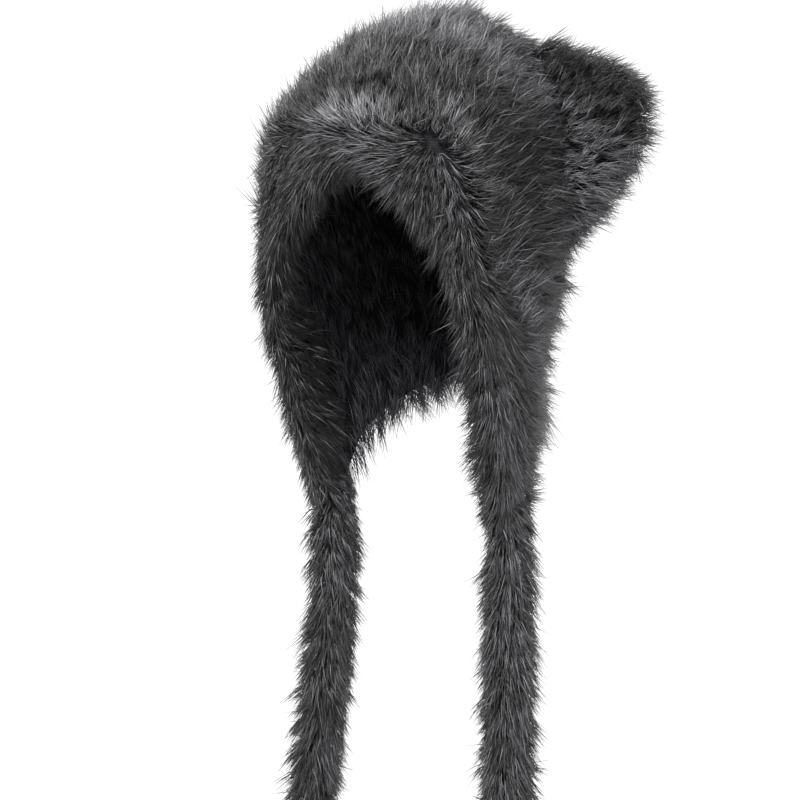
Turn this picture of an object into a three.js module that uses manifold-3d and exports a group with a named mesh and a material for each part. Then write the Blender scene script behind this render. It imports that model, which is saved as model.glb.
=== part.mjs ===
// A deep-fur hood with two ear corners and two long hanging ties, modelled in millimetres. +Z is up, the
// face looks along -Y, and the wearer's left is +X. The origin is the inside of the crown's top, where a
// head carries the hood.
import * as THREE from "three";
import { mergeVertices } from "three/addons/utils/BufferGeometryUtils.js";
import Module from "manifold-3d";

const wasm = await Module();
wasm.setup();

// Driving dimensions
const WALL = 3; // the knitted ground of the hood
const GAP = 0.4; // between pieces that are laid face to face
const SEAM_GAP = 0.8; // between the band and the edges that it meets
const SKIN = 0.05; // keeps two cuts from sharing a face

// The face band: its padding over the hood, inside its face edge, and how far its roll stands ahead of that
// edge
const BAND = { outside: 6, inside: 4, roll: 8 };

// Fur, as a close ground that parts into locks. A lock's tip stands off the ground and leans down the fur's
// flow.
const COAT_GROUND = 4;
const COAT_FUR = { proud: 11, lean: 15 };
const EAR_FUR = { proud: 9, lean: 7 };
const BAND_FUR = { proud: 9, lean: 11 };
const BAND_LINING_FUR = { proud: 2, lean: 11 };
const TIE_FUR = { proud: 7, lean: 12 };
const LOCK_LENGTHS = { shortest: 0.72, longest: 1.14 }; // of a mean lock
const SIDE_DROOP = 0.9; // how much more the coat hangs down at the hem than on the crown
const BAND_FLOW = { inward: 0.4, backward: 0.6, down: 0.6 };

// Sections of the hood's outer cloth from the face edge round to the middle of the back. Each is an arch
// through five guide points of the wearer's left side: the middle of the top as [y, z], and the others as
// [x, y, z].
const HOOD_SECTIONS = [
  // face edge, seam of the band, temple, front of the ear, back of the ear, back of the head, middle of the
  // back
  { top: [-110, -80], high: [58, -106, -120], side: [86, -97, -180], low: [87, -76, -244], hem: [81, -46, -346] },
  { top: [-94, -32], high: [74, -95, -66], side: [87, -90, -150], low: [87, -38, -228], hem: [80, -24, -342] },
  { top: [-52, -6], high: [78, -50, -46], side: [86, -38, -166], low: [80, -16, -240], hem: [74, -6, -306] },
  { top: [-8, 3], high: [80, 0, -42], side: [82, 8, -168], low: [70, 10, -234], hem: [66, 13, -290] },
  { top: [34, 0], high: [74, 40, -46], side: [66, 42, -166], low: [53, 33, -228], hem: [50, 30, -276] },
  { top: [60, -16], high: [47, 71, -70], side: [38, 63, -164], low: [30, 46, -222], hem: [28, 43, -262] },
  { top: [78, -44], high: [0, 86, -92], side: [0, 73, -160], low: [0, 54, -214], hem: [0, 50, -254] },
];
const BAND_SECTION = 1; // the row where the face band ends and the coat begins
const HEART = [0, -20, -170]; // a point well inside the hood

// The grid that every layer of the hood shares
const CELLS_ROUND = 38; // from the right flap over the crown to the left one
const CELLS_PER_SECTION = 2; // between two rows of the table
const ROLL_STEPS = 3; // round the band's roll

// An ear's sections, going out along X: the height of its lower and upper edge, its thickness and middle,
// and how far the fold on its front stands out.
const EAR_SECTIONS = [
  { x: 20, low: -140, high: -14, thick: 44, y: 36, fold: 0 },
  { x: 46, low: -150, high: -9, thick: 48, y: 36, fold: 8 },
  { x: 70, low: -150, high: -16, thick: 40, y: 35, fold: 9 },
  { x: 90, low: -138, high: -22, thick: 30, y: 35, fold: 9 },
  { x: 108, low: -117, high: -27, thick: 25, y: 35, fold: 7 },
  { x: 122, low: -98, high: -31, thick: 21, y: 35, fold: 5 },
  { x: 132, low: -80, high: -37, thick: 16, y: 35, fold: 2 },
  { x: 137, low: -68, high: -46, thick: 8, y: 35, fold: 0 },
];
const EAR_SIDES = 10;
const EAR_EDGE = 0.8; // under 1 makes the ear's upper and lower edges blunter than an ellipse's

// The ties' sections, going down from the flaps: the middle of the left and the right one, and their width
// and thickness. The right one swings outward.
const TIE_SECTIONS = [
  { z: -334, left: 81, right: -79, y: -35, wide: 26, thick: 11 },
  { z: -354, left: 82, right: -77, y: -36, wide: 24, thick: 12 },
  { z: -374, left: 83, right: -75, y: -37, wide: 22, thick: 14 },
  { z: -400, left: 83, right: -75, y: -37, wide: 21, thick: 15 },
  { z: -440, left: 83, right: -77, y: -37, wide: 21, thick: 15 },
  { z: -500, left: 83, right: -85, y: -37, wide: 21, thick: 15 },
  { z: -560, left: 83, right: -93, y: -37, wide: 21, thick: 15 },
  { z: -606, left: 83, right: -99, y: -37, wide: 19, thick: 14 },
  { z: -616, left: 83, right: -100, y: -37, wide: 10, thick: 8 },
];
const TIE_SIDES = 8;
const TIE_RING = 22; // between two rings of locks

// Materials
const charcoalFur = new THREE.MeshStandardMaterial({ color: 0x4b4b4e, roughness: 0.9, metalness: 0 });
const darkKnit = new THREE.MeshStandardMaterial({ color: 0x1d1d20, roughness: 1, metalness: 0 });

const LAST_SECTION = HOOD_SECTIONS.length - 1;
const ROWS = LAST_SECTION * CELLS_PER_SECTION;
const BAND_ROWS = BAND_SECTION * CELLS_PER_SECTION;
const SIDES = { left: 1, right: -1 };
const DOWN = new THREE.Vector3(0, 0, -1);
const vector = (x, y, z) => new THREE.Vector3(x, y, z);
const mix = (a, b, t) => a + (b - a) * t;

// A lock's length against a mean lock's, scattered but the same each time for a pair of whole numbers
function lockLength(i, j) {
  const scattered = Math.abs(Math.sin(i * 127.1 + j * 311.7) * 43758.5453) % 1;
  return mix(LOCK_LENGTHS.shortest, LOCK_LENGTHS.longest, scattered);
}

function centreOf(points) {
  return points.reduce((sum, p) => sum.add(p), vector(0, 0, 0)).multiplyScalar(1 / points.length);
}

function smoothCurve(points) {
  return new THREE.CatmullRomCurve3(points, false, "centripetal");
}

// A guide line of the hood runs through one column of the table, round the back and forward again on the
// right, so that it crosses the middle of the back squarely.
function guideLine(column) {
  const left = HOOD_SECTIONS.map((row) => vector(...row[column]));
  const right = left.slice(0, -1).reverse().map((p) => vector(-p.x, p.y, p.z));
  return smoothCurve([...left, ...right]);
}

const topLine = smoothCurve([
  ...HOOD_SECTIONS.map((row) => vector(0, ...row.top)),
  vector(...HOOD_SECTIONS.at(-1).high),
]);
const sideLines = ["hem", "low", "side", "high"].map(guideLine);

// The arch of the hood at a place between the face edge, 0, and the middle of the back, 1
function archAt(back) {
  const left = sideLines.map((line) => line.getPoint(back / 2));
  const top = topLine.getPoint((back * LAST_SECTION) / (LAST_SECTION + 1));
  const right = left.map((p) => vector(-p.x, p.y, p.z));
  return smoothCurve([...right, top, ...left.reverse()]);
}

// The hood's outer cloth as a grid, [round][back]. Its last row is on the middle of the back, where both
// halves meet.
function hoodPoints() {
  const arches = Array.from({ length: ROWS + 1 }, (_, j) => archAt(j / ROWS));
  const points = [];
  for (let i = 0; i <= CELLS_ROUND; i++) {
    points.push(arches.map((arch) => arch.getPointAt(i / CELLS_ROUND)));
    points[i][ROWS].x = 0;
  }
  for (let i = 0; i < CELLS_ROUND / 2; i++) points[CELLS_ROUND - i][ROWS].copy(points[i][ROWS]);
  return points;
}

// The normal at each point of the grid, from the faces round it
function hoodNormals(points) {
  const normals = points.map((column) => column.map(() => vector(0, 0, 0)));
  for (let i = 0; i < CELLS_ROUND; i++)
    for (let j = 0; j < ROWS; j++) {
      const onward = points[i + 1][j + 1].clone().sub(points[i][j]);
      const across = points[i][j + 1].clone().sub(points[i + 1][j]);
      const face = onward.cross(across);
      for (const [a, b] of [[i, j], [i + 1, j], [i, j + 1], [i + 1, j + 1]]) normals[a][b].add(face);
    }
  for (let i = 0; i <= CELLS_ROUND / 2; i++) {
    const shared = normals[i][ROWS].clone().add(normals[CELLS_ROUND - i][ROWS]).setX(0);
    normals[i][ROWS].copy(shared);
    normals[CELLS_ROUND - i][ROWS].copy(shared);
  }
  return normals.map((column) => column.map((n) => n.normalize()));
}

const points = hoodPoints();
const normals = hoodNormals(points);

// A surface under construction: a list of triangles, whose shared corners are merged at the end
class Surface {
  constructor() {
    this.corners = [];
  }
  triangle(a, b, c) {
    for (const p of [a, b, c]) this.corners.push(p.x, p.y, p.z);
  }
  quad(a, b, c, d) {
    this.triangle(a, b, c);
    this.triangle(a, c, d);
  }
  // A lock of fur: the quad's four sides run up to one tip.
  lock(a, b, c, d, tip) {
    this.triangle(a, b, tip);
    this.triangle(b, c, tip);
    this.triangle(c, d, tip);
    this.triangle(d, a, tip);
  }
  geometry() {
    const loose = new THREE.BufferGeometry();
    loose.setAttribute("position", new THREE.Float32BufferAttribute(this.corners, 3));
    return mergeVertices(loose, 1e-3);
  }
  solid() {
    const { index, attributes } = this.geometry();
    return new wasm.Manifold(
      new wasm.Mesh({
        numProp: 3,
        vertProperties: new Float32Array(attributes.position.array),
        triVerts: new Uint32Array(index.array),
      }),
    );
  }
}

// The geometry of a solid that was joined or cut
function geometryOf(solid) {
  const { numProp, vertProperties, triVerts } = solid.getMesh();
  const places = new Float32Array((vertProperties.length / numProp) * 3);
  for (let i = 0; i < places.length / 3; i++)
    places.set(vertProperties.subarray(i * numProp, i * numProp + 3), i * 3);
  const geometry = new THREE.BufferGeometry();
  geometry.setAttribute("position", new THREE.BufferAttribute(places, 3));
  geometry.setIndex(new THREE.BufferAttribute(new Uint32Array(triVerts), 1));
  return geometry;
}

// A thick sheet between two grids of the same size. tips holds a lock's tip for each outer cell, or is left
// out. closedEnd leaves the last row without a rim, where the sheet's two halves meet, and crossed splits
// the inner cells along their other diagonal, as the part of the band inside the hood does.
function thickSheet({ outer, inner, tips, closedEnd, crossed }) {
  const s = new Surface();
  const last = outer.length - 1;
  const rows = outer[0].length - 1;
  for (let i = 0; i < last; i++) {
    for (let j = 0; j < rows; j++) {
      const cell = [outer[i][j], outer[i + 1][j], outer[i + 1][j + 1], outer[i][j + 1]];
      if (tips) s.lock(...cell, tips[i][j]);
      else s.quad(...cell);
      if (crossed) s.quad(inner[i][j + 1], inner[i + 1][j + 1], inner[i + 1][j], inner[i][j]);
      else s.quad(inner[i][j], inner[i][j + 1], inner[i + 1][j + 1], inner[i + 1][j]);
    }
    s.quad(outer[i + 1][0], outer[i][0], inner[i][0], inner[i + 1][0]);
    if (!closedEnd) s.quad(outer[i][rows], outer[i + 1][rows], inner[i + 1][rows], inner[i][rows]);
  }
  for (let j = 0; j < rows; j++) {
    s.quad(outer[0][j], outer[0][j + 1], inner[0][j + 1], inner[0][j]);
    s.quad(outer[last][j + 1], outer[last][j], inner[last][j], inner[last][j + 1]);
  }
  return s;
}

// A point of the hood's grid, moved out along its normal
function lifted(i, row, offset) {
  return points[i][row].clone().addScaledVector(normals[i][row], offset);
}

// One layer of the hood, from a row of the grid to the middle of the back
function layer(offset, fromRow = 0) {
  return points.map((column, i) => column.slice(fromRow).map((_, j) => lifted(i, j + fromRow, offset)));
}

// A grid's cell, with its corners in the order of an outward face
function cellOf(grid, i, j) {
  return [grid[i][j], grid[i + 1][j], grid[i + 1][j + 1], grid[i][j + 1]];
}

// One layer of the hood, filled from its edges to a point well inside it
function hoodBlock(offset, crossed) {
  const s = new Surface();
  const skin = layer(offset);
  const heart = vector(...HEART);
  for (let i = 0; i < CELLS_ROUND; i++) {
    for (let j = 0; j < ROWS; j++) {
      const [a, b, c, d] = cellOf(skin, i, j);
      if (crossed) s.quad(b, c, d, a);
      else s.quad(a, b, c, d);
    }
    s.triangle(skin[i + 1][0], skin[i][0], heart);
  }
  for (let j = 0; j < ROWS; j++) {
    s.triangle(skin[0][j], skin[0][j + 1], heart);
    s.triangle(skin[CELLS_ROUND][j + 1], skin[CELLS_ROUND][j], heart);
  }
  return s.solid();
}

// Joins a piece of each ear to a piece of the hood.
function withEars(solid, earPiece) {
  return Object.values(SIDES).reduce((all, side) => all.add(earPiece(side)), solid);
}

// The knitted ground: one wall, hollow up into the ears
function hoodShell() {
  const faces = { outer: layer(0), inner: layer(-WALL) };
  const wall = thickSheet({ ...faces, closedEnd: true, crossed: true }).solid();
  const hollow = withEars(hoodBlock(-WALL - SKIN, true), (side) => earCloth(side, -WALL));
  return withEars(wall, (side) => earCloth(side, 0)).subtract(hollow);
}

// The way that the coat's locks lie: back from the face on the crown, and more and more down towards the
// hem
function coatFlow(i, row) {
  const back = points[i][row + 1].clone().sub(points[i][row]).normalize();
  const toHem = Math.abs((2 * (i + 0.5)) / CELLS_ROUND - 1);
  return back.addScaledVector(DOWN, SIDE_DROOP * toHem).normalize();
}

// The coat of pile over the ground behind the band, the ears' pile with it
function hoodCoat() {
  const outer = layer(COAT_GROUND, BAND_ROWS);
  const inner = layer(GAP, BAND_ROWS);
  for (const column of [...outer, ...inner]) {
    const onward = column[1].clone().sub(column[0]).normalize();
    column[0].addScaledVector(onward, SEAM_GAP);
  }
  const tips = Array.from({ length: CELLS_ROUND }, (_, i) =>
    Array.from({ length: ROWS - BAND_ROWS }, (_, j) => {
      const row = j + BAND_ROWS;
      const long = lockLength(i, row);
      return centreOf(cellOf(outer, i, j))
        .addScaledVector(normals[i][row], COAT_FUR.proud * long)
        .addScaledVector(coatFlow(i, row), COAT_FUR.lean * long);
    }),
  );
  const sheet = thickSheet({ outer, inner, tips, closedEnd: true }).solid();
  const under = withEars(hoodBlock(GAP - SKIN), (side) => earCloth(side, GAP));
  return withEars(sheet, earFur).subtract(under);
}

// One station of the band, from inside the hood round the face edge to the band's seam: its furred face,
// and the back that lies on the hood
function bandStation(i) {
  const rows = Array.from({ length: BAND_ROWS + 1 }, (_, row) => row);
  const forward = points[i][0].clone().sub(points[i][1]).normalize();
  const half = (BAND.outside + WALL + BAND.inside) / 2;
  const middle = lifted(i, 0, BAND.outside - half);
  const rollFace = [];
  const rollBack = [];
  for (let k = ROLL_STEPS; k >= 1; k--) {
    const turn = (Math.PI * k) / (ROLL_STEPS + 1);
    const across = mix(GAP, -WALL - GAP, (k - 1) / (ROLL_STEPS - 1));
    const high = middle.clone().addScaledVector(normals[i][0], half * Math.cos(turn));
    rollFace.push(high.addScaledVector(forward, BAND.roll * Math.sin(turn)));
    rollBack.push(lifted(i, 0, across).addScaledVector(forward, SEAM_GAP));
  }
  const inside = [1, 0];
  return {
    face: [
      ...inside.map((row) => lifted(i, row, -WALL - BAND.inside)),
      ...rollFace,
      ...rows.map((row) => lifted(i, row, BAND.outside)),
    ],
    back: [
      ...inside.map((row) => lifted(i, row, -WALL - GAP)),
      ...rollBack,
      ...rows.map((row) => lifted(i, row, GAP)),
    ],
  };
}

// The band runs over the hood's front, round its face edge and a little way inside.
function faceBand() {
  const stations = points.map((_, i) => bandStation(i));
  const outer = stations.map(({ face }) => face);
  const inner = stations.map(({ back }) => back);
  const steps = outer[0].length - 1;
  const tips = Array.from({ length: CELLS_ROUND }, (_, i) =>
    Array.from({ length: steps }, (_, k) => {
      const cell = cellOf(outer, i, k);
      const onward = cell[3].clone().sub(cell[0]);
      const out = cell[1].clone().sub(cell[0]).cross(onward).normalize();
      const backward = k === steps - 1 ? 0 : BAND_FLOW.backward;
      const flow = onward.normalize().multiplyScalar(k < steps / 2 ? -BAND_FLOW.inward : backward);
      flow.addScaledVector(DOWN, BAND_FLOW.down);
      const fur = k === 0 ? BAND_LINING_FUR : BAND_FUR;
      const long = lockLength(i + CELLS_ROUND, k);
      return centreOf(cell).addScaledVector(out, fur.proud * long).addScaledVector(flow, fur.lean * long);
    }),
  );
  return thickSheet({ outer, inner, tips }).solid();
}

// A closed tube through rings of points, with locks on its sides if fur is given. way is 1 or -1 for the
// way that its rings run round.
function tube(rings, way, fur) {
  const s = new Surface();
  const sides = rings[0].length;
  const outward = (corners) => (way > 0 ? corners : corners.reverse());
  rings.slice(1).forEach((ring, r) => {
    const before = rings[r];
    const onward = centreOf(ring).sub(centreOf(before)).normalize();
    for (let k = 0; k < sides; k++) {
      const next = (k + 1) % sides;
      const cell = outward([before[k], before[next], ring[next], ring[k]]);
      if (!fur) {
        s.quad(...cell);
        continue;
      }
      const out = cell[2].clone().sub(cell[0]).cross(cell[3].clone().sub(cell[1])).normalize();
      const long = lockLength(r, k + sides);
      const raised = centreOf(cell).addScaledVector(out, fur.proud * long);
      s.lock(...cell, raised.addScaledVector(onward, fur.lean * long));
    }
  });
  const [near, far] = [rings[0], rings.at(-1)];
  for (let k = 0; k < sides; k++) {
    const next = (k + 1) % sides;
    s.triangle(...outward([centreOf(near), near[next], near[k]]));
    s.triangle(...outward([centreOf(far), far[k], far[next]]));
  }
  return s.solid();
}

// The rings of an ear, grown by a layer's offset. The first ring lies inside the hood.
function earRings(side, offset) {
  return EAR_SECTIONS.map(({ x, low, high, thick, y, fold }, r) => {
    const out = r === 0 ? 0 : offset;
    return Array.from({ length: EAR_SIDES }, (_, k) => {
      const turn = (2 * Math.PI * (k + 0.5)) / EAR_SIDES;
      const up = Math.sign(Math.cos(turn)) * Math.abs(Math.cos(turn)) ** EAR_EDGE;
      const backward = Math.sin(turn);
      const folded = Math.max(0, -backward) * fold * Math.sin((Math.PI * (1 - up)) / 2);
      const z = mix(low - offset, high + offset, (1 + up) / 2);
      return vector(side * (x + out), y + (thick / 2 + offset) * backward - folded, z);
    });
  });
}

function earCloth(side, offset) {
  return tube(earRings(side, offset), -side);
}

function earFur(side) {
  return tube(earRings(side, COAT_GROUND), -side, EAR_FUR);
}

// A column of the ties' table at a height
function tieColumn(column, z) {
  const below = Math.max(1, TIE_SECTIONS.findIndex((row) => row.z <= z));
  const [a, b] = [TIE_SECTIONS[below - 1], TIE_SECTIONS[below]];
  return mix(a[column], b[column], (z - a.z) / (b.z - a.z));
}

function tie(name) {
  const [top, end] = [TIE_SECTIONS[0].z, TIE_SECTIONS.at(-1).z];
  const count = Math.round((top - end) / TIE_RING);
  const rings = Array.from({ length: count + 1 }, (_, r) => {
    const z = mix(top, end, r / count);
    const [x, y, wide, thick] = [name, "y", "wide", "thick"].map((column) => tieColumn(column, z));
    return Array.from({ length: TIE_SIDES }, (_, k) => {
      const turn = (2 * Math.PI * k) / TIE_SIDES;
      return vector(x + SIDES[name] * (thick / 2) * Math.cos(turn), y + (wide / 2) * Math.sin(turn), z);
    });
  });
  return tube(rings, -SIDES[name], TIE_FUR);
}

// Cuts a piece out of another with a gap all round, by cutting it in six places a gap apart.
function cutWithGap(from, piece) {
  let left = from.subtract(piece);
  for (const axis of [0, 1, 2])
    for (const way of [-GAP, GAP]) {
      const shift = [0, 0, 0];
      shift[axis] = way;
      left = left.subtract(piece.translate(shift));
    }
  return left;
}

function largest(solid) {
  return solid.decompose().sort((a, b) => b.volume() - a.volume())[0];
}

function named(name, geometry, material) {
  const mesh = new THREE.Mesh(geometry, material);
  mesh.name = name;
  return mesh;
}

const shell = largest(hoodShell());
const coat = largest(hoodCoat());
const band = faceBand();
const flaps = shell.add(band).add(coat);

const group = new THREE.Group();
group.add(named("hood_shell", geometryOf(shell), darkKnit));
group.add(named("hood_fur", geometryOf(coat), charcoalFur));
group.add(named("face_band", geometryOf(band), charcoalFur));
for (const name of Object.keys(SIDES))
  group.add(named(`tie_${name}`, geometryOf(largest(cutWithGap(tie(name), flaps))), charcoalFur));
export default group;
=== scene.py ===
"""Looks of a long-pile hood with ear corners, a padded face band and two hanging ties.

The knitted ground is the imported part's own node. Over it lie the hides that the pile grows from, and the pile
itself, strand by strand. Lengths are in metres, in the part's frame: +Z up, the face looks along -Y.
"""

import logging
import math
from dataclasses import dataclass, field
from enum import Enum

import bpy
import numpy as np
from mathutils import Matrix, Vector
from mathutils.kdtree import KDTree

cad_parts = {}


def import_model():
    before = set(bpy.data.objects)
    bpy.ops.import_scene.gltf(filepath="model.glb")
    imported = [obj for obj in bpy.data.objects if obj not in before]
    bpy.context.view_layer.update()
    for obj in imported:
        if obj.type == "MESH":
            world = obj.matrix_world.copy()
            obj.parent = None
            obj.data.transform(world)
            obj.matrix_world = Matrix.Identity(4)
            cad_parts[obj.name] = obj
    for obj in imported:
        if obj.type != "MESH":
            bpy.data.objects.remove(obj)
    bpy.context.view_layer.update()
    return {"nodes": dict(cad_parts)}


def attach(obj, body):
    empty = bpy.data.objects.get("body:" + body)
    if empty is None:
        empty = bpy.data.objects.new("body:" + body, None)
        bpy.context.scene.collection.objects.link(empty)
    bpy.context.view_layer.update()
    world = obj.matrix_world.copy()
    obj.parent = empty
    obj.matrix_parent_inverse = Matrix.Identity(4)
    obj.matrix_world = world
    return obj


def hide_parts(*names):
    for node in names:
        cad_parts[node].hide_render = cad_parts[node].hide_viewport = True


Array = np.ndarray
MM = 0.001
DOWN = np.array([0.0, 0.0, -1.0])
FIRST_SEED, SEED_STEP = 100, 10  # of the parts, in their order
EVEN_STEPS = (0.7548776662466927, 0.5698402909980532)  # steps that fill a square evenly
MAP = "OFBake"  # a strand's tone and the place along it
MAP_PLACES = (0.02, 0.4, 0.4, 0.4, 0.98)  # of a spindle's points along its strand
MAP_NUDGES = np.array([0, -4, 0, 4, 0]) * 0.001  # of their tone, so that no triangle is a line in the map
# A spindle's triangles: point 0 is its root, 1 to 3 go round its bend, and 4 is its tip.
SPINDLE = [face for k in range(3) for face in ((0, 1 + (k + 1) % 3, 1 + k), (1 + k, 1 + (k + 1) % 3, 4))]
UPRIGHT = 0.9  # a strand whose way has more of Z than this takes X as its side
WELD = 0.05  # mm, points of a hide that are nearer become one
log = logging.getLogger("hood")


class Side(Enum):
    """The wearer's left or right, as the sign of X."""

    LEFT = 1
    RIGHT = -1

    @property
    def word(self) -> str:
        """The side's name in a piece's name."""
        return self.name.lower()


@dataclass(frozen=True)
class HoodSection:
    """An arch of the hood's outer cloth through guide points of the wearer's left side, in mm."""

    top: tuple[float, float]
    high: tuple[float, float, float]
    side: tuple[float, float, float]
    low: tuple[float, float, float]
    hem: tuple[float, float, float]


@dataclass(frozen=True)
class EarSection:
    """A section of an ear across X: its lower and upper edge, thickness, middle and the front fold, in mm."""

    x: float
    low: float
    high: float
    thick: float
    y: float
    fold: float


@dataclass(frozen=True)
class TieSection:
    """A section of the ties at a height, in mm: where the left and the right one are, width and thickness."""

    z: float
    left: float
    right: float
    y: float
    wide: float
    thick: float


HOOD_SECTIONS = (
    HoodSection((-110, -80), (58, -106, -120), (86, -97, -180), (87, -76, -244), (81, -46, -346)),
    HoodSection((-94, -32), (74, -95, -66), (87, -90, -150), (87, -38, -228), (80, -24, -342)),
    HoodSection((-52, -6), (78, -50, -46), (86, -38, -166), (80, -16, -240), (74, -6, -306)),
    HoodSection((-8, 3), (80, 0, -42), (82, 8, -168), (70, 10, -234), (66, 13, -290)),
    HoodSection((34, 0), (74, 40, -46), (66, 42, -166), (53, 33, -228), (50, 30, -276)),
    HoodSection((60, -16), (47, 71, -70), (38, 63, -164), (30, 46, -222), (28, 43, -262)),
    HoodSection((78, -44), (0, 86, -92), (0, 73, -160), (0, 54, -214), (0, 50, -254)),
)
EAR_SECTIONS = (
    EarSection(20, -140, -14, 44, 36, 0),
    EarSection(46, -150, -9, 48, 36, 8),
    EarSection(70, -150, -16, 40, 35, 9),
    EarSection(90, -138, -22, 30, 35, 9),
    EarSection(108, -117, -27, 25, 35, 7),
    EarSection(122, -98, -31, 21, 35, 5),
    EarSection(132, -80, -37, 16, 35, 2),
    EarSection(137, -68, -46, 8, 35, 0),
)
TIE_SECTIONS = (
    TieSection(-334, 81, -79, -35, 26, 11),
    TieSection(-354, 82, -77, -36, 24, 12),
    TieSection(-374, 83, -75, -37, 22, 14),
    TieSection(-400, 83, -75, -37, 21, 15),
    TieSection(-440, 83, -77, -37, 21, 15),
    TieSection(-500, 83, -85, -37, 21, 15),
    TieSection(-560, 83, -93, -37, 21, 15),
    TieSection(-606, 83, -99, -37, 19, 14),
    TieSection(-616, 83, -100, -37, 10, 8),
)
WALL = 3.0  # mm, the knitted ground
HIDE = 3.0  # mm, from the ground's face to the coat's hide


# Surfaces


def unit(vectors: Array) -> Array:
    """Scales each vector to length 1."""
    return vectors / np.maximum(np.linalg.norm(vectors, axis=-1, keepdims=True), 1e-12)


def ramp(values: Array, start: float, end: float) -> Array:
    """Goes from 0 to 1 as a value goes from start to end, and stays there."""
    return np.clip((values - start) / (end - start), 0, 1)


def mirrored(points: Array) -> Array:
    """The same points on the wearer's other side."""
    return points * np.array([-1.0, 1.0, 1.0])


def smooth_curve(guides: Array, at: Array) -> Array:
    """Reads a centripetal Catmull-Rom curve.

    Args:
        guides: the points that the curve passes, (n, 3).
        at: places from 0 to 1, each stretch between two guides taking an equal share.

    Returns:
        The curve's points, one for each place.
    """
    ends = np.concatenate([[2 * guides[0] - guides[1]], guides, [2 * guides[-1] - guides[-2]]])
    place = np.clip(at, 0, 1) * (len(guides) - 1)
    stretch = np.minimum(place.astype(int), len(guides) - 2)
    t = (place - stretch)[:, None]
    p0, p1, p2, p3 = (ends[stretch + k] for k in range(4))
    d0, d1, d2 = (np.sqrt(np.linalg.norm(b - a, axis=1))[:, None] for a, b in ((p0, p1), (p1, p2), (p2, p3)))
    start = ((p1 - p0) / d0 - (p2 - p0) / (d0 + d1) + (p2 - p1) / d1) * d1
    end = ((p2 - p1) / d1 - (p3 - p1) / (d1 + d2) + (p3 - p2) / d2) * d1
    return p1 + t * (start + t * (3 * (p2 - p1) - 2 * start - end + t * (2 * (p1 - p2) + start + end)))


def evenly(curve: Array, count: int) -> Array:
    """Places count points at equal steps along a finely drawn curve."""
    along = np.concatenate([[0], np.cumsum(np.linalg.norm(np.diff(curve, axis=0), axis=1))])
    wanted = np.linspace(0, along[-1], count)
    return np.stack([np.interp(wanted, along, curve[:, k]) for k in range(3)], 1)


def nearest(places: Array, heads: Array) -> Array:
    """The index of the nearest head for each place."""
    tree = KDTree(len(heads))
    for k, head in enumerate(heads):
        tree.insert(head, k)
    tree.balance()
    return np.array([tree.find(place)[1] for place in places])


def columns_at(table: tuple, key: str, at: Array) -> dict[str, Array]:
    """Reads every column of a table of sections at some places of its key column."""
    names = list(vars(table[0]))
    rows = np.array([[getattr(row, name) for name in names] for row in table], float)
    rows = rows[np.argsort(rows[:, names.index(key)])]
    return {name: np.interp(at, rows[:, names.index(key)], rows[:, k]) for k, name in enumerate(names)}


@dataclass
class Patch:
    """A curved surface as a grid of points, [round][onward], with its outward normals."""

    points: Array
    normals: Array

    @classmethod
    def of(cls, points: Array, wrapped: bool = False, flipped: bool = False) -> "Patch":
        """Makes a patch and works out its normals from its neighbours.

        Args:
            points: the grid, (n, m, 3), in metres.
            wrapped: whether its first and last row are the same line.
            flipped: whether the two directions' cross product points inward.

        Returns:
            The patch.
        """
        round_way = np.gradient(points, axis=0)
        if wrapped:
            round_way[0] = round_way[-1] = (points[1] - points[-2]) / 2
        normals = unit(np.cross(round_way, np.gradient(points, axis=1)))
        return cls(points, -normals if flipped else normals)

    def lifted(self, offset: float) -> "Patch":
        """The same patch moved out along its normals, by an offset in mm."""
        return Patch(self.points + self.normals * offset * MM, self.normals)

    def part(self, around: slice, onward: slice = slice(None)) -> "Patch":
        """A stretch of the patch."""
        return Patch(self.points[around, onward], self.normals[around, onward])

    def coarse(self) -> "Patch":
        """Every second point both ways, which is fine enough for a hide."""
        return self.part(slice(None, None, 2), slice(None, None, 2))

    def half(self, side: Side) -> "Patch":
        """The half on one side of the wearer. The grid runs from the right hem to the left one."""
        middle = len(self.points) // 2
        return self.part(slice(middle, None) if side is Side.LEFT else slice(None, middle + 1))

    def ways(self, axis: int) -> "Patch":
        """Its directions, round for axis 0 or onward for axis 1, in place of its points."""
        return Patch(unit(np.gradient(self.points, axis=axis)), self.normals)

    def area(self) -> Array:
        """Each cell's area, in square metres."""
        a = self.points[1:, 1:] - self.points[:-1, :-1]
        b = self.points[1:, :-1] - self.points[:-1, 1:]
        return np.linalg.norm(np.cross(a, b), axis=-1) / 2

    def at(self, around: Array, onward: Array) -> Array:
        """Its points at places from 0 to 1 both ways, to the nearest one of the grid."""
        n, m = self.points.shape[:2]
        return self.points[np.rint(around * (n - 1)).astype(int), np.rint(onward * (m - 1)).astype(int)]

    def height(self, places: Array) -> Array:
        """How far places lie out of the patch, in metres, negative on its inner side."""
        points, normals = self.points.reshape(-1, 3), self.normals.reshape(-1, 3)
        near = nearest(places, points)
        return np.sum((places - points[near]) * normals[near], 1)


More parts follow.
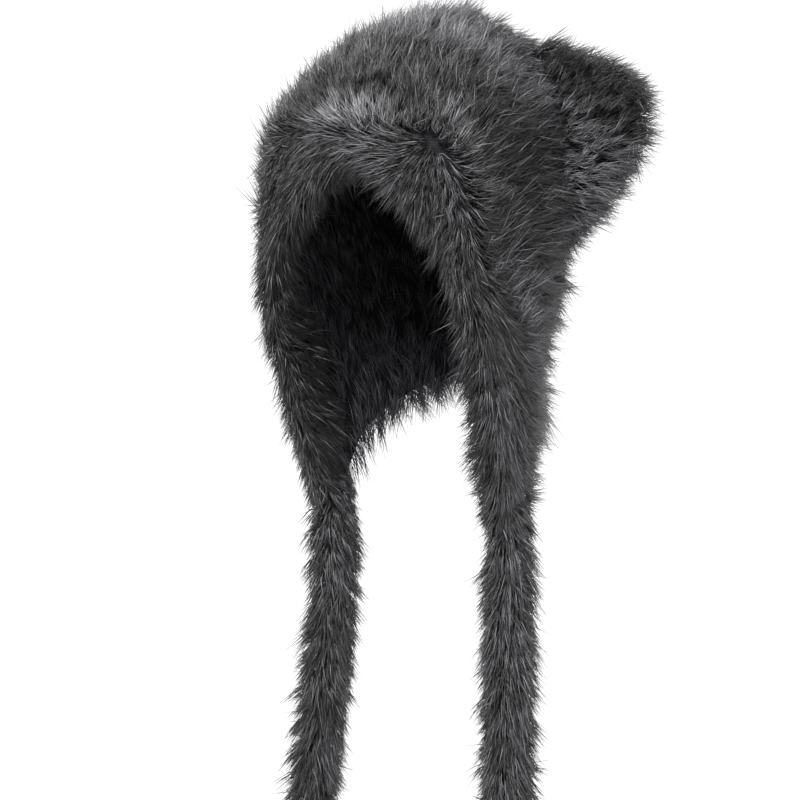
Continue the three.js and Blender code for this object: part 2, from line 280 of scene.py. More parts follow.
class HoodForm:
    """The hood's outer cloth, drawn finely from the same sections as the part's."""

    ROUND = 120  # cells from the right hem over the crown to the left one
    BACK = 60  # cells from the face edge to the middle of the back
    SEAM_ROW = 10  # where the band ends and the coat begins
    TUCKED = 2  # rows of the coat that lie under the band
    FINE = 241  # points on an arch before it is divided evenly

    def __init__(self) -> None:
        """Draws the grid."""
        at = np.linspace(0, 1, self.BACK + 1)
        lines = []
        for column in ("hem", "low", "side", "high"):
            left = np.array([getattr(row, column) for row in HOOD_SECTIONS], float)
            lines.append(smooth_curve(np.concatenate([left, mirrored(left[-2::-1])]), at / 2))
        crown = np.array([(0, *row.top) for row in HOOD_SECTIONS] + [HOOD_SECTIONS[-1].high], float)
        top = smooth_curve(crown, at * (len(HOOD_SECTIONS) - 1) / len(HOOD_SECTIONS))
        arches = []
        for j in range(self.BACK + 1):
            left = np.array([line[j] for line in lines])
            arch = np.concatenate([mirrored(left), top[j][None], left[::-1]])
            arches.append(evenly(smooth_curve(arch, np.linspace(0, 1, self.FINE)), self.ROUND + 1))
        grid = np.stack(arches, 1) * MM
        grid[:, -1, 0] = 0
        self.cloth = Patch.of(grid)
        shared = self.cloth.normals[:, -1] + self.cloth.normals[::-1, -1]
        shared[:, 0] = 0
        self.cloth.normals[:, -1] = unit(shared)

    def coat(self) -> Patch:
        """The hide that the coat grows from, behind the band."""
        return self.cloth.part(slice(None), slice(self.SEAM_ROW - self.TUCKED, None)).lifted(HIDE)

    def lining(self) -> Patch:
        """The inside of the wall, looking in."""
        inner = self.cloth.part(slice(None), slice(self.SEAM_ROW // 2 - 1, None)).lifted(-WALL)
        return Patch(inner.points, -inner.normals)


def in_ear(places: Array, grown: float) -> Array:
    """Tells which places lie inside an ear's cloth, grown by some mm."""
    x, y, z = (places / MM).T
    c = columns_at(EAR_SECTIONS, "x", np.abs(x))
    deep = (y - c["y"]) / (c["thick"] / 2 + grown)
    high = (z - (c["high"] + c["low"]) / 2) / ((c["high"] - c["low"]) / 2 + grown)
    return (deep**2 + high**2 < 1) & (np.abs(x) < EAR_SECTIONS[-1].x)


# Pile


@dataclass(frozen=True)
class Pile:
    """How a stretch of pile grows. Lengths are in mm, angles in degrees from the hide's normal."""

    strands: int
    length: float
    lean: float  # at the root, where the way's length is 1
    lay: float  # how far the outer half turns down to the hide
    sag: float  # how far the outer half hangs down
    per_clump: int = 12
    gather: float = 0.62  # how far a clump's strands draw together at their tips
    width: float = 0.62  # of a strand where it bends
    unruly: float = 0.2  # how much clumps differ in their way
    tone: float = 0.45  # from 0, the darkest, to 1, the lightest


@dataclass(frozen=True)
class Habit:
    """How the strands of any pile differ. A spread is a standard deviation, and a share is of 1."""

    scatter: float = 0.35  # mm, the spread of roots about their even places
    swirl: float = 0.25  # how far the way turns aside in patches
    swirl_size: float = 60.0  # mm
    clump_tilt: float = 9.0  # degrees, the spread of lean between clumps
    strand_tilt: float = 6.0  # degrees, and between strands
    tufts: float = 0.12  # the share of clumps that stand out
    tuft_tilt: float = 10.0  # degrees that a tuft stands steeper
    tuft_length: float = 0.22  # how much longer a tuft is
    clump_length: tuple[float, float] = (0.8, 1.08)
    strand_length: tuple[float, float] = (0.6, 1.1)
    pale: tuple[float, float] = (1.2, 0.25)  # gamma shape and scale: most strands are dark, and some pale
    pale_middle: float = 0.32  # the paleness that leaves the pile's tone as it is
    pale_length: float = 0.22  # how much longer the palest are
    stray: float = 0.08  # the spread of a strand's own way
    strays: float = 0.08  # the share of strands that stray far
    stray_far: float = 3.0  # times as much
    stray_end: float = 1.4  # times as much in the outer half
    inner: float = 0.42  # the share of a strand's length up to its bend
    outer: float = 0.58
    drawn_inner: float = 0.35  # the share of a clump's drawing together that is done at the bend
    drawn_outer: float = 0.65
    clump_tone: float = 0.07  # the spread between clumps
    patch_tone: float = 0.06  # how far the tone changes in patches
    patch_size: float = 28.0  # mm
    tone_ends: tuple[float, float] = (0.02, 0.98)
    leans_most: float = 1.4  # the longest way that counts
    shade_most: float = -0.7  # the deepest shade that makes pale strands darker


@dataclass
class Roots:
    """Where strands grow: places, the hide's normals, and how far round and onward on the patch, 0 to 1."""

    place: Array
    normal: Array
    around: Array
    onward: Array

    def only(self, kept: Array) -> "Roots":
        """Those of them that are kept."""
        return Roots(self.place[kept], self.normal[kept], self.around[kept], self.onward[kept])


@dataclass
class Lie:
    """How strands lie: their way, whose length is 0 where they stand up and 1 where they lean fully."""

    way: Array
    # Its tone is painted light where above 0 and painted shade where below 0, region by region.
    tone: Array | float = 0.0
    length: Array | float = 1.0


def noise(points: Array, scale: float, seed: int) -> Array:
    """Smooth seeded noise of about -1 to 1 at points, with patches of about a scale in mm."""
    waves, most = 5, 2.6  # the sum of so many waves is seldom over this
    rng = np.random.default_rng(seed)
    total = np.zeros(len(points))
    for _ in range(waves):
        way = unit(rng.normal(size=3)) / (scale * MM) * rng.uniform(0.7, 1.5)
        total += np.sin(points @ way * 2 * math.pi + rng.uniform(0, 2 * math.pi))
    return total / most


def towards(way: Array, strength: Array | float) -> Array:
    """A way of a given length."""
    return unit(way) * np.reshape(strength, (-1, 1))


def even_roots(patch: Patch, count: int, rng: np.random.Generator) -> Roots:
    """Spreads roots evenly by area, in an order whose every stretch is spread evenly too.

    Args:
        patch: the hide.
        count: the number of roots.
        rng: shifts the whole spread.

    Returns:
        The roots.
    """
    area = patch.area()
    u, v = (np.outer(np.arange(count), EVEN_STEPS) + rng.random(2)).T % 1
    rows = np.concatenate([[0], np.cumsum(area.sum(1))]) / area.sum()
    around = np.interp(u, rows, np.arange(len(rows)))
    i = np.minimum(around.astype(int), area.shape[0] - 1)
    cells = np.cumsum(area, 1) / area.sum(1, keepdims=True)
    j = np.minimum((cells[i] < v[:, None]).sum(1), area.shape[1] - 1)
    before = np.where(j > 0, cells[i, j - 1], 0)
    a, b = around - i, (v - before) / np.maximum(cells[i, j] - before, 1e-9)
    shares = ((1 - a) * (1 - b), a * (1 - b), a * b, (1 - a) * b)
    corners = ((i, j), (i + 1, j), (i + 1, j + 1), (i, j + 1))
    place = sum(share[:, None] * patch.points[corner] for share, corner in zip(shares, corners))
    normal = unit(sum(share[:, None] * patch.normals[corner] for share, corner in zip(shares, corners)))
    return Roots(place, normal, (i + a) / area.shape[0], (j + b) / area.shape[1])


def strands(
    pile: Pile, roots: Roots, lie: Lie, rng: np.random.Generator, seed: int, habit: Habit = Habit()
) -> tuple[Array, Array]:
    """Grows strands that draw together in clumps.

    Args:
        pile: lengths and angles.
        roots: where they grow.
        lie: how they lie.
        rng: for what differs between strands.
        seed: of the slow changes over the hide.
        habit: how strands differ.

    Returns:
        Three points for each strand, (n, 3, 3), and each strand's tone from 0 to 1.
    """
    n = len(roots.place)
    root = roots.place + rng.normal(scale=habit.scatter * MM, size=(n, 3))
    heads = root[:: pile.per_clump]
    own = nearest(root, heads)
    clumps = len(heads)
    strength = np.clip(np.linalg.norm(lie.way, axis=1), 0, habit.leans_most)
    way = unit(lie.way)
    way = way + noise(root, habit.swirl_size, seed)[:, None] * habit.swirl * np.cross(roots.normal, way)
    way = way + rng.normal(scale=pile.unruly, size=(clumps, 3))[own]
    way = unit(way - roots.normal * np.sum(way * roots.normal, 1, keepdims=True))
    tuft = rng.random(clumps) < habit.tufts
    tilted = rng.normal(scale=habit.clump_tilt, size=clumps) - habit.tuft_tilt * tuft
    lean = pile.lean * strength + tilted[own]
    tilt = np.radians(lean + rng.normal(scale=habit.strand_tilt, size=n))[:, None]
    pale = rng.gamma(*habit.pale, size=n)
    long = (rng.uniform(*habit.clump_length, clumps) + habit.tuft_length * tuft)[own]
    long = long * rng.uniform(*habit.strand_length, n)
    long = (pile.length * MM * lie.length * long * (1 + habit.pale_length * np.minimum(pale, 1)))[:, None]
    stray = rng.normal(scale=habit.stray, size=(n, 3))
    stray = stray * np.where(rng.random(n) < habit.strays, habit.stray_far, 1)[:, None]
    rise = unit(np.cos(tilt) * roots.normal + np.sin(tilt) * way + stray)
    lay = (pile.lay * strength)[:, None]
    fall = unit(rise + lay * way + pile.sag * DOWN + habit.stray_end * stray)
    inward = (heads[own] - root) * pile.gather
    middle = root + habit.inner * long * rise + habit.drawn_inner * inward
    tip = middle + habit.outer * long * fall + habit.drawn_outer * inward
    tone = pile.tone + lie.tone + habit.patch_tone * noise(root, habit.patch_size, seed + 1)
    shade = 1 + np.clip(lie.tone, habit.shade_most, 0)
    tone = tone + rng.normal(scale=habit.clump_tone, size=clumps)[own] + (pale - habit.pale_middle) * shade
    return np.stack([root, middle, tip], 1), np.clip(tone, *habit.tone_ends)


def spindles(lines: Array, tone: Array, width: float) -> tuple[Array, Array, Array]:
    """Turns strands into closed three-sided spindles, widest where they bend.

    Args:
        lines: three points for each strand, (n, 3, 3).
        tone: each strand's tone.
        width: of a strand where it bends, in mm.

    Returns:
        Vertices, triangles, and each vertex's tone and place along its strand as a UV.
    """
    n = len(lines)
    along = unit(lines[:, 2] - lines[:, 0])
    aside = unit(np.cross(along, np.where(np.abs(along[:, 2:]) > UPRIGHT, [[1.0, 0, 0]], [[0, 0, 1.0]])))
    across = np.cross(along, aside)
    turns = np.arange(3) * 2 * math.pi / 3
    ring = np.cos(turns)[:, None] * aside[:, None] + np.sin(turns)[:, None] * across[:, None]
    vertices = np.concatenate([lines[:, :1], lines[:, 1:2] + ring * (width / 2 * MM), lines[:, 2:]], 1)
    triangles = np.array(SPINDLE)[None] + vertices.shape[1] * np.arange(n)[:, None, None]
    uv = np.empty((*vertices.shape[:2], 2))
    uv[..., 0] = tone[:, None] + MAP_NUDGES
    uv[..., 1] = MAP_PLACES
    return vertices.reshape(-1, 3), triangles.reshape(-1, 3), uv.reshape(-1, 2)


def mesh_piece(name: str, vertices: Array, triangles: Array, uv: Array) -> bpy.types.Object:
    """Makes an object from arrays, with a UV map of its vertices."""
    mesh = bpy.data.meshes.new(name)
    mesh.vertices.add(len(vertices))
    mesh.vertices.foreach_set("co", vertices.astype(np.float32).ravel())
    mesh.loops.add(triangles.size)
    mesh.loops.foreach_set("vertex_index", triangles.astype(np.int32).ravel())
    mesh.polygons.add(len(triangles))
    mesh.polygons.foreach_set("loop_start", np.arange(0, triangles.size, 3, dtype=np.int32))
    mesh.polygons.foreach_set("use_smooth", np.ones(len(triangles), bool))
    mesh.update(calc_edges=True)
    layer = mesh.uv_layers.new(name=MAP)
    layer.uv.foreach_set("vector", uv[triangles.ravel()].astype(np.float32).ravel())
    made = bpy.data.objects.new(name, mesh)
    bpy.context.collection.objects.link(made)
    return made


# Finishes


def linear(colour: str) -> tuple[float, float, float, float]:
    """Turns an sRGB hex value into a linear colour."""
    parts = [int(colour[k : k + 2], 16) / 255 for k in (1, 3, 5)]
    return (*(c / 12.92 if c <= 0.04045 else ((c + 0.055) / 1.055) ** 2.4 for c in parts), 1.0)


def add_node(
    tree: bpy.types.NodeTree, kind: str, links: dict, settings: dict[str, object] | None = None
) -> bpy.types.Node:
    """Adds a node with its settings, input values and links.

    Args:
        tree: the material's tree.
        kind: the node's type.
        links: for an input's name or number, a value or another node's output.
        settings: the node's own properties.

    Returns:
        The node.
    """
    node = tree.nodes.new(kind)
    for name, value in (settings or {}).items():
        setattr(node, name, value)
    for name, value in links.items():
        if isinstance(value, bpy.types.NodeSocket):
            tree.links.new(value, node.inputs[name])
        else:
            node.inputs[name].default_value = value
    return node


def add_tones(
    tree: bpy.types.NodeTree, share: bpy.types.NodeSocket, dark: str, light: str
) -> bpy.types.NodeSocket:
    """Adds a ramp between two colours.

    Args:
        tree: the material's tree.
        share: the output that gives the place on the ramp, from 0 to 1.
        dark: the colour at 0, as sRGB hex.
        light: the colour at 1.

    Returns:
        The colour's output.
    """
    tones = add_node(tree, "ShaderNodeValToRGB", {0: share})
    for stop, colour in zip(tones.color_ramp.elements, (dark, light)):
        stop.color = linear(colour)
    return tones.outputs[0]


def new_material(name: str, roughness: float, specular: float) -> tuple[bpy.types.Material, bpy.types.Node]:
    """Starts a material and sets its shader's own values."""
    material = bpy.data.materials.new(name)
    material.use_nodes = True
    shader = material.node_tree.nodes["Principled BSDF"]
    shader.inputs["Roughness"].default_value = roughness
    shader.inputs["Specular IOR Level"].default_value = specular
    return material, shader


@dataclass(frozen=True)
class PileFinish:
    """Acrylic fibre: dark at the root where neighbours shade it, with a range of tones between strands."""

    name: str
    root: str
    dark: str
    light: str
    roughness: float = 0.5  # a soft gloss along each strand
    specular: float = 0.35
    root_ends: float = 0.8  # the place along a strand where the root's colour has gone

    def material(self) -> bpy.types.Material:
        """Builds the material: the map's first number is the strand's tone, its second the place along it."""
        material, shader = new_material(self.name, self.roughness, self.specular)
        tree = material.node_tree
        place = add_node(tree, "ShaderNodeUVMap", {}, {"uv_map": MAP})
        split = add_node(tree, "ShaderNodeSeparateXYZ", {0: place.outputs[0]})
        tone = add_tones(tree, split.outputs["X"], self.dark, self.light)
        rise = add_node(tree, "ShaderNodeMapRange", {"Value": split.outputs["Y"], "From Max": self.root_ends})
        blend = add_node(tree, "ShaderNodeMixRGB", {0: rise.outputs[0], 1: linear(self.root), 2: tone})
        tree.links.new(blend.outputs[0], shader.inputs["Base Color"])
        return material


@dataclass(frozen=True)
class KnitFinish:
    """A matt knitted cloth: rows of loops with fuzz over them."""

    name: str
    dark: str
    light: str
    loop: float  # mm, from one row of loops to the next
    wander: float = 1.5  # how far the rows stray
    fuzz: float = 2.5  # mm, the size of its flecks
    relief: float = 0.5  # of the loops, 1 mm deep at 1
    roughness: float = 0.95
    specular: float = 0.1

    def material(self) -> bpy.types.Material:
        """Builds the material."""
        material, shader = new_material(self.name, self.roughness, self.specular)
        tree = material.node_tree
        place = add_node(tree, "ShaderNodeTexCoord", {}).outputs["Object"]
        # A wave texture's period is pi / 10 over its scale.
        waves = {"Scale": math.pi / 10 / (self.loop * MM), "Distortion": self.wander, "Detail": 2.0}
        rows = add_node(tree, "ShaderNodeTexWave", {"Vector": place, **waves}, {"bands_direction": "Z"})
        flecks = {"Scale": 1 / (self.fuzz * MM), "Detail": 4.0}
        fuzz = add_node(tree, "ShaderNodeTexNoise", {"Vector": place, **flecks})
        factors = {0: rows.outputs["Fac"], 1: fuzz.outputs["Fac"]}
        both = add_node(tree, "ShaderNodeMath", factors, {"operation": "MULTIPLY"}).outputs[0]
        bump = add_node(tree, "ShaderNodeBump", {"Height": both, "Strength": self.relief, "Distance": MM})
        tree.links.new(add_tones(tree, both, self.dark, self.light), shader.inputs["Base Color"])
        tree.links.new(bump.outputs[0], shader.inputs["Normal"])
        return material


@dataclass(frozen=True)
class PaperFinish:
    """Matt background paper that is lit until it is white."""

    name: str
    colour: str
    glow: str
    roughness: float = 0.9
    specular: float = 0.1

    def material(self) -> bpy.types.Material:
        """Builds the material."""
        material, shader = new_material(self.name, self.roughness, self.specular)
        shader.inputs["Base Color"].default_value = linear(self.colour)
        shader.inputs["Emission Color"].default_value = linear(self.glow)
        shader.inputs["Emission Strength"].default_value = 1.0
        return material


CHARCOAL_PILE = PileFinish("charcoal acrylic pile", "#0b0b0c", "#131314", "#808083")
# A darker copy of the charcoal pile for inside the hood: painted shade.
LINING_PILE = PileFinish("shaded acrylic pile", "#070709", "#0b0b0e", "#47474d", roughness=0.6, specular=0.2)
PILE_HIDE = KnitFinish("knitted hide under the pile", "#131315", "#29292d", loop=1.8)
KNIT_GROUND = KnitFinish("black knitted ground", "#08080a", "#17171a", loop=2.5)
PAPER = PaperFinish("white paper sweep", "#6e6e6e", "#f0f0f0")


# Sub-assemblies


def hide_piece(name: str, patch: Patch, thick: float, dropped: Array | None = None) -> bpy.types.Object:
    """Makes a hide from a grid primitive shaped onto a patch, thickened inwards and closed.

    Args:
        name: the piece's name.
        patch: its outer face.
        thick: in mm.
        dropped: tells for each point of the patch whether the hide is cut away there.

    Returns:
        The piece.
    """
    around, onward = patch.points.shape[:2]
    bpy.ops.object.select_all(action="DESELECT")
    bpy.ops.mesh.primitive_grid_add(x_subdivisions=onward - 1, y_subdivisions=around - 1)
    piece = bpy.context.object
    piece.name = piece.data.name = name
    piece.data.vertices.foreach_set("co", patch.points.astype(np.float32).ravel())
    piece.data.update()
    middle = Vector(patch.points[around // 2, onward // 2])
    face = min(piece.data.polygons, key=lambda polygon: (polygon.center - middle).length)
    if face.normal.dot(Vector(patch.normals[around // 2, onward // 2])) < 0:
        piece.data.flip_normals()
    if dropped is not None:
        bpy.ops.object.mode_set(mode="EDIT")
        bpy.ops.mesh.select_all(action="DESELECT")
        bpy.ops.object.mode_set(mode="OBJECT")
        piece.data.vertices.foreach_set("select", dropped.ravel())
    bpy.ops.object.mode_set(mode="EDIT")
    if dropped is not None:
        bpy.ops.mesh.delete(type="VERT")
    bpy.ops.mesh.select_all(action="SELECT")
    bpy.ops.mesh.remove_doubles(threshold=WELD * MM)
    bpy.ops.object.mode_set(mode="OBJECT")
    solid = piece.modifiers.new("thickness", "SOLIDIFY")
    solid.thickness = thick * MM
    solid.offset = -1
    bpy.ops.object.modifier_apply(modifier=solid.name)
    bpy.ops.object.shade_smooth()
    return piece


@dataclass
class Dressing:
    """What every part of the hood is finished with."""

    form: HoodForm
    pile: bpy.types.Material
    lining: bpy.types.Material
    hide: bpy.types.Material

    def dress(
        self, piece: bpy.types.Object, material: bpy.types.Material, slot: str, node: str | None = None
    ) -> None:
        """Gives a piece its material and ties it to the frame.

        Args:
            piece: the piece.
            material: its material.
            slot: the slot that it stands for; it is not used.
            node: the CAD node that it replaces, if it replaces one.
        """
        piece.data.materials.clear()
        piece.data.materials.append(material)
        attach(piece, "root")
        if node:
            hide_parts(node)
        log.info("%s: %d triangles", piece.name, len(piece.data.loop_triangles) or len(piece.data.polygons))


@dataclass
class Furred:
    """A part of the hood that pile grows on."""

    dressing: Dressing
    side: Side
    seed: int
    pile: Pile

    def groom(self, roots: Roots) -> Lie:
        """Says how the pile lies at its roots. Each part has its own way."""
        raise NotImplementedError

    def keeps(self, roots: Roots) -> Array:
        """Tells which roots grow. All do, unless a part says otherwise."""
        return np.ones(len(roots.place), bool)

    def from_top(self, roots: Roots) -> Array:
        """How far round its half each root is, 0 at the crown and 1 at the hem."""
        return roots.around if self.side is Side.LEFT else 1 - roots.around

    def grow(self, name: str, patch: Patch) -> bpy.types.Object:
        """Grows the pile on a patch as one joined piece."""
        rng = np.random.default_rng(self.seed)
        count = int(self.pile.strands * (1.0))
        roots = even_roots(patch, count, rng)
        roots = roots.only(self.keeps(roots))
        lines, tone = strands(self.pile, roots, self.groom(roots), rng, self.seed + 1)
        return mesh_piece(name, *spindles(lines, tone, self.pile.width))


@dataclass
class Coat(Furred):
    """One half of the coat behind the band.

    Its zones are pairs from where a change starts to where it is full: heights Z and X in metres, ROUND from
    the crown 0 to the hem 1, and ON from under the band 0 to the middle of the back 1.
    """

    pile: Pile = Pile(
        strands=33500, length=27, lean=56, lay=0.45, sag=0.12, width=0.72, gather=0.76, unruly=0.36
    )

    COVERED = -4  # mm, the ear's cloth grown by this covers the coat's pile
    CUT = -5  # mm, and grown by this cuts its hide away
    NEAR_EAR = 20  # mm, and grown by this has the pile that turns out to the ear
    CLEAR = 0.5  # mm, from the hide's inner face to the ground
    DROOP_Z, DROOP_ON = (-0.05, -0.28), (0.06, 0.5)
    CLOSING_ON = (0.6, 0.95)  # where the rows close in a point at the back
    CROWN_Z, CROWN_X = (-0.09, -0.02), (0.075, 0.045)
    VALLEY_ON = (0.22, 0.08)  # the crease behind the band's ridge
    HEM_ROUND = (0.86, 1)
    DIP_X, DIP_ON, DIP_Z = (0.0, 0.03), (0.2, 0.32), (-0.07, -0.04)  # beside the middle, behind the crease
    FLAP_Z, FLAP_ON = (-0.22, -0.3), (0.5, 0.3)
    OPEN_ON = (0.2, 0.4)  # where the shade of the side gets weaker
    # painted light low down and painted shade high on the side, by height
    TONE_Z, TONES = (-0.28, -0.22, -0.14, -0.08, -0.03), (0.58, 0.16, -0.27, -0.36, -0.02)

    def keeps(self, roots: Roots) -> Array:
        """Leaves out what the ear covers."""
        return ~in_ear(roots.place, self.COVERED)

    def groom(self, roots: Roots) -> Lie:
        """Back from the face, turning down the sides and the back. It stands up more on the crown."""
        patch = self.dressing.form.coat().half(self.side)
        back = patch.ways(1).at(roots.around, roots.onward)
        aside, z, onward = np.abs(roots.place[:, 0]), roots.place[:, 2], roots.onward
        droop = 1.2 * ramp(z, *self.DROOP_Z) * ramp(onward, *self.DROOP_ON)
        closing = ramp(onward, *self.CLOSING_ON)
        crown = ramp(z, *self.CROWN_Z)
        valley = crown * ramp(onward, *self.VALLEY_ON)
        hem = ramp(self.from_top(roots), *self.HEM_ROUND)
        to_ear = in_ear(roots.place, self.NEAR_EAR)[:, None] * np.array((0.8 * self.side.value, 0, 0))
        way = (1 - closing)[:, None] * back + (droop + closing + 0.8 * hem)[:, None] * DOWN + to_ear
        dip = ramp(aside, *self.DIP_X) * ramp(onward, *self.DIP_ON) * ramp(z, *self.DIP_Z)
        way = towards(way, 1 - 0.3 * crown * ramp(aside, *self.CROWN_X) + 0.3 * valley + 0.3 * dip)
        flap = ramp(z, *self.FLAP_Z) * ramp(onward, *self.FLAP_ON)
        # Painted light and shade by height, weaker towards the back, and painted shade in the crease behind the
        # band's ridge.
        tone = np.interp(z, self.TONE_Z, self.TONES)
        tone = np.where(tone < 0, tone * (1.15 - 0.8 * ramp(onward, *self.OPEN_ON)), tone) - 0.5 * valley
        length = 1.03 - 0.24 * np.maximum(valley, dip) + 0.35 * hem - 0.55 * flap
        return Lie(way, tone=tone, length=length)

    def build(self) -> None:
        """Grows this half's pile, and for the left half makes the hide of both."""
        coat = self.dressing.form.coat()
        pile = self.grow(f"coat_{self.side.word}_pile", coat.half(self.side))
        self.dressing.dress(pile, self.dressing.pile, "pile", "hood_fur")
        if self.side is Side.LEFT:
            coarse = coat.coarse()
            dropped = in_ear(coarse.points.reshape(-1, 3), self.CUT)
            hide = hide_piece("coat_hide", coarse, HIDE - self.CLEAR, dropped)
            self.dressing.dress(hide, self.dressing.hide, "pile", "hood_fur")


@dataclass
class Band(Furred):
    """One half of the padded band round the face opening.

    Its zones are pairs as the coat's are, with ON from the inner edge 0 to the seam 1.
    """

    pile: Pile = Pile(strands=19500, length=25, lean=54, lay=0.5, sag=0.22, gather=0.68, tone=0.26)
    outside: float = 5.0  # mm, its padding over the hood
    inside: float = 4.0
    roll: float = 7.0  # mm, how far it stands ahead of the face edge
    turned_in: int = 4  # rows of the form that it covers inside
    roll_rows: int = 9
    parting: tuple[float, float] = (0.6, 0.84)  # ON, where the pile parts over the face and at the sides

    CLEAR = 0.5  # mm, from the pad to the ground inside the hood
    PARTING_ROUND = (0.02, 0.18)  # from where it parts as over the face to where it does as at the sides
    PARTED = 0.16  # ON, how far from the parting the pile lies fully to its side
    LOW_Z = (-0.06, -0.17)
    SWEEP_ROUND = (0.12, 0.26)
    VALLEY_ROUND, VALLEY_ON = (0.22, 0.12), (0.72, 0.84)  # the crease behind the ridge
    RIDGE_ROUND = (0.27, 0.1)
    END_Z = (-0.29, -0.345)
    LIT_ROUND = 0.24  # where the painted light over the face ends on the near side
    LIT_FURTHER, LIT_FADE = 0.2, 0.14  # how much further on the far side, and over what stretch it fades
    # the painted shade on the inner edge, and the painted light low on the flap
    INNER_ON, FLAP_Z = (0.5, 0.2), (-0.2, -0.3)
    DIM_Z, DIM_NEAR_Z = (-0.03, -0.08), (-0.19, -0.14)  # the shaded sides, the near one only high up
    TEMPLE_ROUND, TEMPLE_END_ROUND, TEMPLE_ON = (0.1, 0.18), (0.42, 0.34), (0.5, 0.7)

    def face(self) -> Patch:
        """Its furred face, from inside the hood round the face edge to its seam."""
        cloth = self.dressing.form.cloth
        edge, normal = cloth.points[:, 0], cloth.normals[:, 0]
        forward = unit(edge - cloth.points[:, 3])
        half = (self.outside + WALL + self.inside) / 2 * MM
        middle = edge + normal * (self.outside * MM - half)
        inner, outer = cloth.lifted(-WALL - self.inside).points, cloth.lifted(self.outside).points
        rows = [inner[:, j] for j in range(self.turned_in, 0, -1)]
        for turn in np.linspace(math.pi, 0, self.roll_rows):
            rows.append(middle + normal * half * math.cos(turn) + forward * self.roll * MM * math.sin(turn))
        rows += [outer[:, j] for j in range(1, HoodForm.SEAM_ROW + 1)]
        return Patch.of(np.stack(rows, 1))

    def groom(self, roots: Roots) -> Lie:
        """Up and back above the parting, and below it down the band and in towards the face."""
        patch = self.face().half(self.side)
        over = patch.ways(1).at(roots.around, roots.onward)
        hemward = patch.ways(0).at(roots.around, roots.onward) * self.side.value
        z, onward, from_top = roots.place[:, 2], roots.onward, self.from_top(roots)
        parting = np.interp(from_top, self.PARTING_ROUND, self.parting)
        across = np.clip((onward - parting) / self.PARTED, -1, 1)
        low = ramp(z, *self.LOW_Z)
        # The pile over the face is swept to the wearer's right, and past the left temple it turns down.
        sweep = ramp(from_top, *self.SWEEP_ROUND) * 2 - 1 if self.side is Side.LEFT else np.ones(len(z))
        above = across > 0
        along = np.where(above, 0.15 + 0.3 * low, 0.8) * np.where(above & (sweep < 0), 0, sweep)
        side_on = across * np.where(above, 1, 1 - 0.5 * low)
        way = side_on[:, None] * over + along[:, None] * hemward
        valley = ramp(from_top, *self.VALLEY_ROUND) * ramp(onward, *self.VALLEY_ON)
        ridge = above * ramp(from_top, *self.RIDGE_ROUND) * across * (1 - valley)
        end = ramp(z, *self.END_Z)
        strength = np.clip(np.linalg.norm(way, axis=1), 0.85, 1)
        strength = strength * (1 - 0.35 * ridge + 0.4 * valley + 0.25 * end)
        far = float(self.side is Side.RIGHT)
        lit_to = self.LIT_ROUND + self.LIT_FURTHER * far
        lit = above * ramp(from_top, lit_to, lit_to - self.LIT_FADE) * across * (1 - valley)
        # Painted light on the ridge over the face and low on the flap, painted shade in the crease, on the
        # inner edge and on the shaded sides.
        tone = 0.38 * lit - 0.5 * valley - 0.34 * ramp(onward, *self.INNER_ON) + 0.16 * ramp(z, *self.FLAP_Z)
        tone -= 0.08 * ramp(z, *self.DIM_Z) * np.maximum(far, ramp(z, *self.DIM_NEAR_Z))
        temple = far * ramp(from_top, *self.TEMPLE_ROUND) * ramp(from_top, *self.TEMPLE_END_ROUND)
        temple = temple * ramp(onward, *self.TEMPLE_ON)
        length = 0.87 + 0.1 * ridge - 0.2 * np.maximum(valley, end) - 0.24 * temple
        return Lie(towards(way, strength + 0.1 * temple), tone=tone, length=length)

    def build(self) -> None:
        """Grows this half's pile, and for the left half makes the pad of both."""
        face = self.face()
        pile = self.grow(f"band_{self.side.word}_pile", face.half(self.side))
        self.dressing.dress(pile, self.dressing.pile, "pile", "face_band")
        if self.side is Side.LEFT:
            pad = hide_piece("band_pad", face.coarse(), self.inside - self.CLEAR)
            self.dressing.dress(pad, self.dressing.hide, "pile", "face_band")


